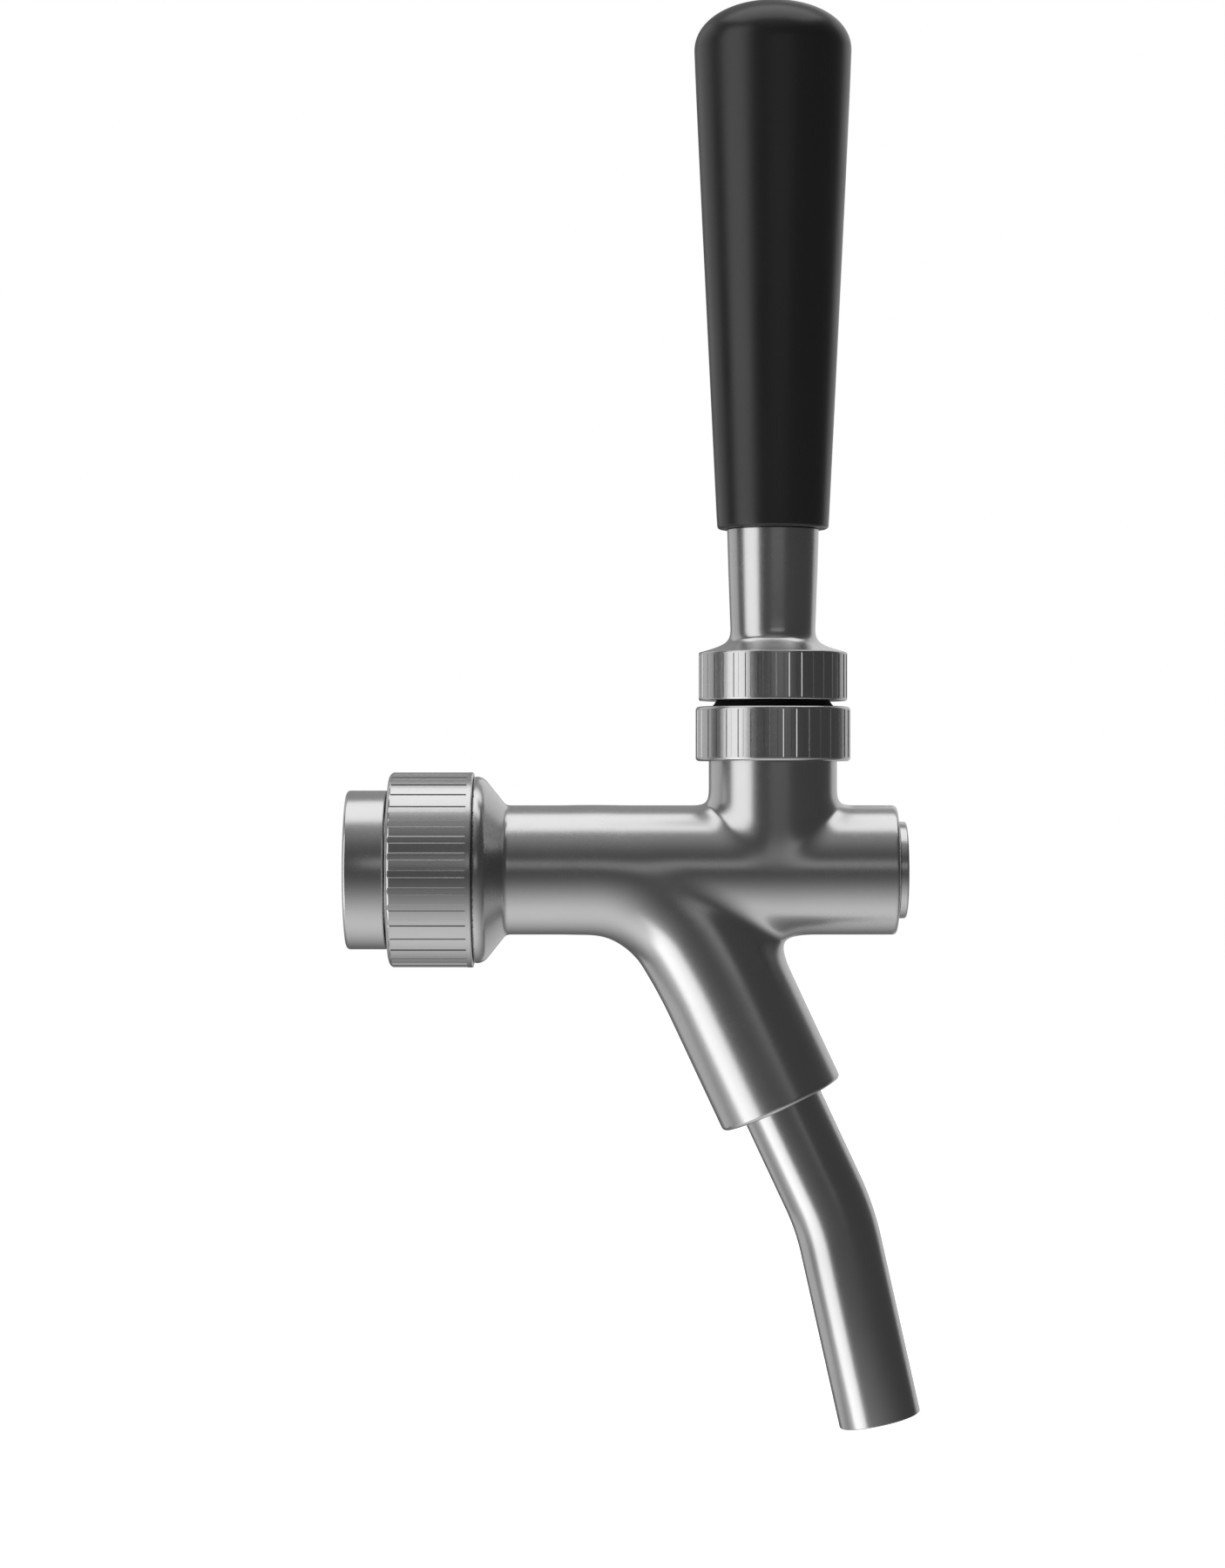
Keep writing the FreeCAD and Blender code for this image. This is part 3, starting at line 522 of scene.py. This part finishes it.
# ---------------------------------------------------------------- materials
class Nodes:
    """A new material's node tree with short ways to add and join nodes."""

    def __init__(self, name):
        self.material = bpy.data.materials.new(name)
        self.material.use_nodes = True
        self.tree = self.material.node_tree
        self.shader = self.tree.nodes["Principled BSDF"]

    def add(self, kind, **inputs):
        item = self.tree.nodes.new(kind)
        for field, value in inputs.items():
            item.inputs[field.replace("_", " ")].default_value = value
        return item

    def join(self, source, target):
        self.tree.links.new(source, target)

    def place(self, stretch):
        spot = self.tree.nodes.new("ShaderNodeTexCoord")
        mapping = self.tree.nodes.new("ShaderNodeMapping")
        mapping.inputs["Scale"].default_value = stretch
        self.join(spot.outputs["Object"], mapping.inputs["Vector"])
        return mapping.outputs["Vector"]

    def noise(self, scale, detail=3.0, rough=0.5, stretch=(1, 1, 1)):
        item = self.add("ShaderNodeTexNoise", Scale=scale, Detail=detail, Roughness=rough)
        self.join(self.place(stretch), item.inputs["Vector"])
        return item.outputs["Fac"]

    def spread(self, source, low, high, bottom=0.3, top=0.7):
        """Turns a 0 to 1 value into a range, clamped at both ends."""
        item = self.add("ShaderNodeMapRange")
        for field, value in (("From Min", bottom), ("From Max", top), ("To Min", low), ("To Max", high)):
            item.inputs[field].default_value = value
        self.join(source, item.inputs["Value"])
        return item.outputs["Result"]

    def mix(self, factor, first, second):
        """A colour between two, by a factor."""
        item = self.tree.nodes.new("ShaderNodeMix")
        item.data_type = "RGBA"
        item.inputs["A"].default_value = (*first, 1)
        item.inputs["B"].default_value = (*second, 1)
        self.join(factor, item.inputs["Factor"])
        return item.outputs["Result"]

    def bump(self, height, distance, strength):
        item = self.add("ShaderNodeBump", Strength=strength, Distance=distance)
        self.join(height, item.inputs["Height"])
        return item.outputs["Normal"]

    def sum(self, first, second, how="ADD"):
        item = self.tree.nodes.new("ShaderNodeMath")
        item.operation = how
        self.join(first, item.inputs[0])
        self.join(second, item.inputs[1])
        return item.outputs[0]


def steel(name, rough=(0.245, 0.275)):
    """Satin stainless steel: a bead-blasted grain under a cloudy polish."""
    light = 0.60
    made = Nodes(name)
    shader = made.shader
    shader.inputs["Metallic"].default_value = 1.0
    cloud = made.noise(60, 4, 0.6)
    tint = made.mix(made.spread(cloud, 0, 1), (light * 0.98, light * 0.98, light * 0.985),
                    (light * 1.02, light * 1.02, light * 1.015))
    made.join(tint, shader.inputs["Base Color"])
    smear = made.noise(700, 4, 0.6)
    fine = made.noise(9000, 2, 0.5)
    worn = made.spread(made.sum(cloud, smear, "MULTIPLY"), rough[0], rough[1], 0.12, 0.42)
    speck = made.spread(fine, -0.008, 0.008)
    made.join(made.sum(worn, speck), shader.inputs["Roughness"])
    made.join(made.bump(fine, 0.0008 * MM, 0.4), shader.inputs["Normal"])
    return made.material


def plastic(name):
    """Black moulded plastic with a fine grain, faint cloudiness and a few specks of dust."""
    made = Nodes(name)
    shader = made.shader
    cloud = made.noise(45, 4, 0.6)
    dust = made.noise(2600, 2, 0.6)
    made.join(made.mix(made.spread(dust, 0, 1, 0.66, 0.8), (0.008, 0.008, 0.0085), (0.03, 0.03, 0.03)),
              shader.inputs["Base Color"])
    made.join(made.spread(cloud, 0.29, 0.35), shader.inputs["Roughness"])
    shader.inputs["Specular IOR Level"].default_value = 0.62
    grain = made.noise(5200, 2, 0.5)
    made.join(made.bump(grain, 0.006 * MM, 0.5), shader.inputs["Normal"])
    return made.material


def rubber(name):
    """Matte black rubber, slightly uneven."""
    made = Nodes(name)
    shader = made.shader
    cloud = made.noise(300, 4, 0.6)
    made.join(made.mix(made.spread(cloud, 0, 1), (0.012, 0.012, 0.012), (0.022, 0.022, 0.022)),
              shader.inputs["Base Color"])
    made.join(made.spread(cloud, 0.5, 0.65), shader.inputs["Roughness"])
    made.join(made.bump(made.noise(4000, 3, 0.6), 0.01 * MM, 0.6), shader.inputs["Normal"])
    return made.material


def hidden_metal(name, colour, rough):
    """A turned metal of the inner pieces, with a faint grain drawn out along one way."""
    made = Nodes(name)
    shader = made.shader
    shader.inputs["Metallic"].default_value = 1.0
    cloud = made.noise(200, 4, 0.6)
    made.join(made.mix(made.spread(cloud, 0, 1), [c * 0.93 for c in colour], colour),
              shader.inputs["Base Color"])
    made.join(made.spread(cloud, rough, rough + 0.1), shader.inputs["Roughness"])
    made.join(made.bump(made.noise(3000, 2, 0.5, (1, 1, 12)), 0.004 * MM, 0.5), shader.inputs["Normal"])
    return made.material


def white_plastic(name):
    """Waxy white plastic, slightly cloudy."""
    made = Nodes(name)
    cloud = made.noise(300, 3, 0.5)
    made.join(made.mix(made.spread(cloud, 0, 1), (0.82, 0.82, 0.80), (0.9, 0.9, 0.88)),
              made.shader.inputs["Base Color"])
    made.join(made.spread(cloud, 0.4, 0.5), made.shader.inputs["Roughness"])
    return made.material


MATERIALS = {
    "satin_steel": steel("satin_steel"),
    "knurled_steel": steel("knurled_steel"),
    "tube_steel": steel("tube_steel", (0.235, 0.265)),
    "spring_steel": hidden_metal("spring_steel", (0.42, 0.42, 0.43), 0.3),
    "brass": hidden_metal("brass", (0.75, 0.55, 0.27), 0.25),
    "grip_plastic": plastic("grip_plastic"),
    "black_rubber": rubber("black_rubber"),
    "ptfe": white_plastic("ptfe"),
}
SLOT_OF = {part["node"]: part["material_slot"] for part in frame["record"]["subparts"]}
BODY_OF = {node: body for body, nodes in frame["record"]["behaviour"]["bodies"].items() for node in nodes}


def finish_piece(piece, node):
    """Gives a piece its CAD node's slot and material, puts it on the node's body (the dust boot instead only
    has its place baked into its points), and shows it in the node's place.
    """
    piece.data.materials.clear()
    piece.data.materials.append(MATERIALS[SLOT_OF[node]])
    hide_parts(node)
    if node == "dust_boot":
        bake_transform(piece)
    else:
        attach(piece, BODY_OF[node])


for name, item in frame["nodes"].items():
    item.data.materials.clear()
    item.data.materials.append(MATERIALS[SLOT_OF[name]])

for build, node in (
    (cast_body, "tap_body"), (shank_stub, "shank_adapter"), (coupling_ring, "coupling_nut"),
    (bonnet_ring, "bonnet_nut"), (lever_bell, "lever_collar"), (grip, "handle_grip"),
    (front_cap, "end_cap"), (rubber_boot, "dust_boot"), (spout, "spout_tube"),
):
    finish_piece(build(), node)


# ---------------------------------------------------------------- studio
def direction(turn, lift):
    """A direction by degrees to the left of the camera's side and degrees up."""
    turn, lift = math.radians(turn), math.radians(lift)
    return Vector((-math.sin(turn) * math.cos(lift), -math.cos(turn) * math.cos(lift), math.sin(lift)))


def softbox(name, turn, lift, wide, tall, radiance, distance=2.2):
    """A soft light seen from the tap as a rectangle, given by its half angles in degrees."""
    centre = Vector((NECK_X * 0.8, 0, 0.02))
    light = bpy.data.lights.new(name, "AREA")
    light.shape = "RECTANGLE"
    light.size = 2 * distance * math.tan(math.radians(wide))
    light.size_y = 2 * distance * math.tan(math.radians(tall))
    light.energy = radiance * math.pi * light.size * light.size_y
    item = bpy.data.objects.new(name, light)
    way = direction(turn, lift)
    item.location = centre + way * distance
    item.rotation_euler = (-way).to_track_quat("-Z", "Y").to_euler()
    item.visible_camera = False
    bpy.context.scene.collection.objects.link(item)


# How bright the reflected room, the floor's glow and the wall behind the tap are.
ROOM, FLOOR_GLOW, BACK_GLOW = 0.065, 0.80, 0.28


def surroundings():
    """White behind the tap for the camera. Reflections find a dark room over a paper floor's glow."""
    world = bpy.data.worlds.new("studio")
    bpy.context.scene.world = world
    world.use_nodes = True
    tree = world.node_tree
    tree.nodes.clear()

    def add(kind, how=None, *inputs):
        item = tree.nodes.new(kind)
        if how:
            item.operation = how
        for index, value in enumerate(inputs):
            if isinstance(value, bpy.types.NodeSocket):
                tree.links.new(value, item.inputs[index])
            else:
                item.inputs[index].default_value = value
        return item.outputs["Value"] if how == "DOT_PRODUCT" else item.outputs[0]

    def lobe(way, power, strength):
        dot = add("ShaderNodeVectorMath", "DOT_PRODUCT", spot, way)
        peak = add("ShaderNodeMath", "POWER", add("ShaderNodeMath", "MAXIMUM", dot, 0.0), power)
        return add("ShaderNodeMath", "MULTIPLY", peak, strength)

    spot = tree.nodes.new("ShaderNodeTexCoord").outputs["Generated"]
    glow = lobe((0, -0.12, -0.993), 2.5, FLOOR_GLOW)
    behind = lobe((0, 0.85, 0.52), 3.0, BACK_GLOW)
    overhead = lobe((0, -0.47, 0.883), 13.0, 0.24)
    left_floor = lobe((-0.75, -0.12, -0.65), 12.0, 0.56)
    radiance = add("ShaderNodeMath", "ADD", glow, ROOM)
    for more in (behind, overhead, left_floor):
        radiance = add("ShaderNodeMath", "ADD", radiance, more)
    dim = tree.nodes.new("ShaderNodeBackground")
    tree.links.new(radiance, dim.inputs["Strength"])
    white = tree.nodes.new("ShaderNodeBackground")
    white.inputs["Color"].default_value = (1, 1, 1, 1)
    dim.inputs["Color"].default_value = (1, 1, 1, 1)
    mix = tree.nodes.new("ShaderNodeMixShader")
    rays = tree.nodes.new("ShaderNodeLightPath")
    tree.links.new(rays.outputs["Is Camera Ray"], mix.inputs["Fac"])
    tree.links.new(dim.outputs[0], mix.inputs[1])
    tree.links.new(white.outputs[0], mix.inputs[2])
    output = tree.nodes.new("ShaderNodeOutputWorld")
    tree.links.new(mix.outputs[0], output.inputs["Surface"])


def studio():
    """A pale paper floor that shows as white, and soft boxes all round."""
    floor_height = CAD_BOX[0][2] - 0.05
    reach = 3.0
    floor = mesh_object("floor", [(-reach, -reach, floor_height), (reach, -reach, floor_height),
                                  (reach, reach, floor_height), (-reach, reach, floor_height)],
                        [(0, 1, 2, 3)])
    made = Nodes("floor_paper")
    made.join(made.mix(made.spread(made.noise(20, 3, 0.5), 0, 1), (0.86, 0.86, 0.86), (0.9, 0.9, 0.9)),
              made.shader.inputs["Base Color"])
    made.shader.inputs["Roughness"].default_value = 0.9
    made.shader.inputs["Emission Color"].default_value = (1, 1, 1, 1)
    made.shader.inputs["Emission Strength"].default_value = 1.0
    floor.data.materials.append(made.material)
    floor.visible_glossy = False

    softbox("left_box", 60.5, 0, 21, 44, 1.27)
    softbox("top_box", 180, 83.5, 35, 23, 1.2)
    softbox("back_left", 128, 5, 22, 35, 0.5)
    softbox("back_right", -150, 5, 24, 35, 0.5)
    softbox("front_fill", -10, 10.5, 17, 6, 0.34)
    surroundings()


def camera():
    """A level long lens, square on to the tap's side."""
    data = bpy.data.cameras.new("camera")
    data.sensor_fit = "VERTICAL"
    data.sensor_height = 36
    data.lens = 85
    item = bpy.data.objects.new("camera", data)
    item.location = (0.0522, -0.728, 0.0169)
    item.rotation_euler = (math.pi / 2, 0, 0)
    bpy.context.scene.collection.objects.link(item)
    bpy.context.scene.camera = item


studio()
camera()
bpy.context.scene.view_settings.view_transform = "Standard"
